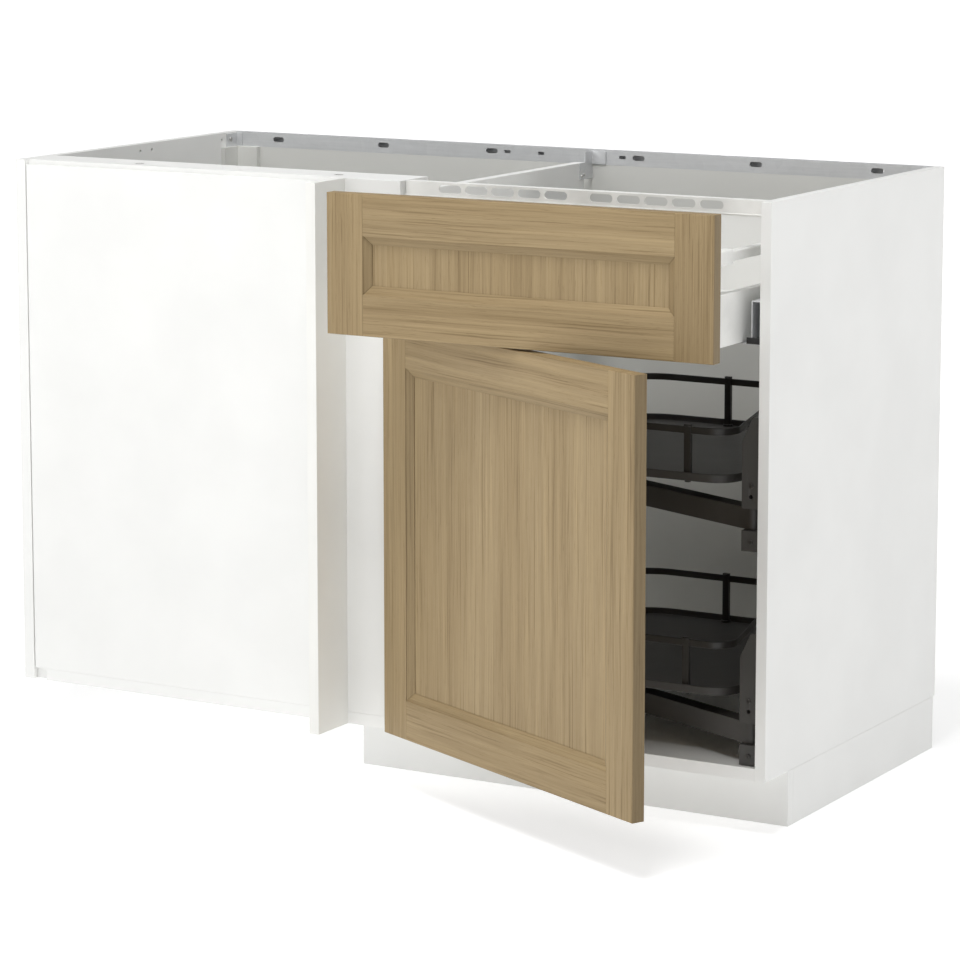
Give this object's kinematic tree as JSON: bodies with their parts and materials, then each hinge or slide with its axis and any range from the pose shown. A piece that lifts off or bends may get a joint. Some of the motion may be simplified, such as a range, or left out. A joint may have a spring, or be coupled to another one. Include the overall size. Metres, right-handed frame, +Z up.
{
  "type": "corner base cabinet",
  "caption": "Base cabinet for a kitchen corner: blind left half, framed drawer over a framed door, and swing-out trays on arms behind the door.",
  "frame": {"origin": "centre of the footprint box at floor level, with door and drawer as pictured", "axes": "+X to the cabinet's right seen from the front, +Y to its back, +Z up"},
  "size_m": [1.26, 0.8686, 0.88],
  "materials": {
    "white_board": "satin white melamine-faced board",
    "filler_board": "satin white melamine-faced board",
    "back_board": "matt off-white fibreboard",
    "oak": "matt lacquered oak veneer",
    "galvanised_steel": "galvanised, matt",
    "white_steel": "white powder coat",
    "fitting_metal": "nickel plated",
    "dark_steel": "anthracite powder coat",
    "dark_plastic": "matt anthracite",
    "leg_plastic": "matt black moulded plastic"
  },
  "bodies": {
    "cabinet": {"left_side_panel": "white_board", "right_side_panel": "white_board", "bottom_panel": "white_board", "back_panel": "back_board", "rear_corner_strip": "back_board", "blind_front_panel": "white_board", "blind_front_batten": "white_board", "filler_panel": "filler_board", "front_stile": "white_board", "hinge_post": "white_board", "top_stretcher": "white_board", "cam_fasteners": "fitting_metal", "front_top_rail": "white_steel", "rear_suspension_rail": "galvanised_steel", "rail_end_fittings": "galvanised_steel", "drawer_divider": "white_board", "divider_bracket": "galvanised_steel", "fixing_screws": "fitting_metal", "runner_cabinet_members": "galvanised_steel", "runner_end_caps": "dark_plastic", "hinge_plates": "fitting_metal", "hinge_arms": "fitting_metal", "lower_tray_bracket": "dark_plastic", "upper_tray_bracket": "dark_plastic", "tray_pivot_pins": "dark_steel", "leg_sockets": "leg_plastic", "plinth_front": "white_board", "plinth_side": "white_board", "plinth_clips": "leg_plastic"},
    "hinge_links": {"hinge_links": "fitting_metal"},
    "door": {"door_stiles": "oak", "door_rails": "oak", "door_panel": "oak", "hinge_cups": "fitting_metal"},
    "runner_middle": {"runner_middle_members": "galvanised_steel"},
    "drawer": {"drawer_front_stiles": "oak", "drawer_front_rails": "oak", "drawer_front_panel": "oak", "drawer_sides": "white_steel", "drawer_back": "white_board", "drawer_bottom": "white_board", "drawer_gallery_rails": "white_steel", "drawer_front_fixings": "white_steel", "runner_drawer_members": "galvanised_steel"},
    "lower_arm": {"lower_swing_arm": "dark_steel", "lower_tray_spindle": "dark_steel"},
    "lower_tray": {"lower_tray_floor": "dark_plastic", "lower_tray_railing": "dark_steel", "lower_tray_posts": "dark_steel"},
    "upper_arm": {"upper_swing_arm": "dark_steel", "upper_tray_spindle": "dark_steel"},
    "upper_tray": {"upper_tray_floor": "dark_plastic", "upper_tray_railing": "dark_steel", "upper_tray_posts": "dark_steel"},
    "foot_front_left": {"foot_front_left": "leg_plastic"},
    "foot_back_left": {"foot_back_left": "leg_plastic"},
    "foot_front_middle": {"foot_front_middle": "leg_plastic"},
    "foot_back_middle": {"foot_back_middle": "leg_plastic"},
    "foot_front_right": {"foot_front_right": "leg_plastic"},
    "foot_back_right": {"foot_back_right": "leg_plastic"}
  },
  "joints": [
    {"name": "door_link_swing", "type": "hinge", "parent": "cabinet", "child": "hinge_links", "pos_m": [0.0315, -0.17749, 0.3], "axis": [0, 0, -1], "range_deg": [-25.5, 0]},
    {"name": "door_cup_swing", "type": "hinge", "parent": "hinge_links", "child": "door", "pos_m": [0.02289, -0.19554, 0.3], "axis": [0, 0, -1], "range_deg": [0, 84.5]},
    {"name": "drawer_slide", "type": "slide", "parent": "cabinet", "child": "drawer", "axis": [0, -1, 0], "range_m": [-0.147, 0.303]},
    {"name": "runner_middle_slide", "type": "slide", "parent": "cabinet", "child": "runner_middle", "axis": [0, -1, 0], "range_m": [-0.0735, 0.1515]},
    {"name": "lower_arm_swing", "type": "hinge", "parent": "cabinet", "child": "lower_arm", "pos_m": [0.596, -0.12749, 0.143], "axis": [0, 0, 1], "range_deg": [0, 90.01]},
    {"name": "lower_tray_turn", "type": "hinge", "parent": "lower_arm", "child": "lower_tray", "pos_m": [0.2278, 0.0288, 0.173], "axis": [0, 0, -1], "range_deg": [0, 50.01]},
    {"name": "upper_arm_swing", "type": "hinge", "parent": "cabinet", "child": "upper_arm", "pos_m": [0.596, -0.12749, 0.443], "axis": [0, 0, 1], "range_deg": [0, 90.01]},
    {"name": "upper_tray_turn", "type": "hinge", "parent": "upper_arm", "child": "upper_tray", "pos_m": [0.2278, 0.0288, 0.473], "axis": [0, 0, -1], "range_deg": [0, 50.01]},
    {"name": "foot_front_left_screw", "type": "slide", "parent": "cabinet", "child": "foot_front_left", "axis": [0, 0, -1], "range_m": [0, 0.02]},
    {"name": "foot_back_left_screw", "type": "slide", "parent": "cabinet", "child": "foot_back_left", "axis": [0, 0, -1], "range_m": [0, 0.02]},
    {"name": "foot_front_middle_screw", "type": "slide", "parent": "cabinet", "child": "foot_front_middle", "axis": [0, 0, -1], "range_m": [0, 0.02]},
    {"name": "foot_back_middle_screw", "type": "slide", "parent": "cabinet", "child": "foot_back_middle", "axis": [0, 0, -1], "range_m": [0, 0.02]},
    {"name": "foot_front_right_screw", "type": "slide", "parent": "cabinet", "child": "foot_front_right", "axis": [0, 0, -1], "range_m": [0, 0.02]},
    {"name": "foot_back_right_screw", "type": "slide", "parent": "cabinet", "child": "foot_back_right", "axis": [0, 0, -1], "range_m": [0, 0.02]}
  ],
  "couplings": [
    {"joint": "runner_middle_slide", "follows": "drawer_slide", "ratio": 0.5},
    {"joint": "lower_arm_swing", "follows": "door_cup_swing", "ratio": 1.0651},
    {"joint": "lower_tray_turn", "follows": "door_cup_swing", "ratio": 0.59172},
    {"joint": "upper_arm_swing", "follows": "door_cup_swing", "ratio": 1.0651},
    {"joint": "upper_tray_turn", "follows": "door_cup_swing", "ratio": 0.59172}
  ]
}
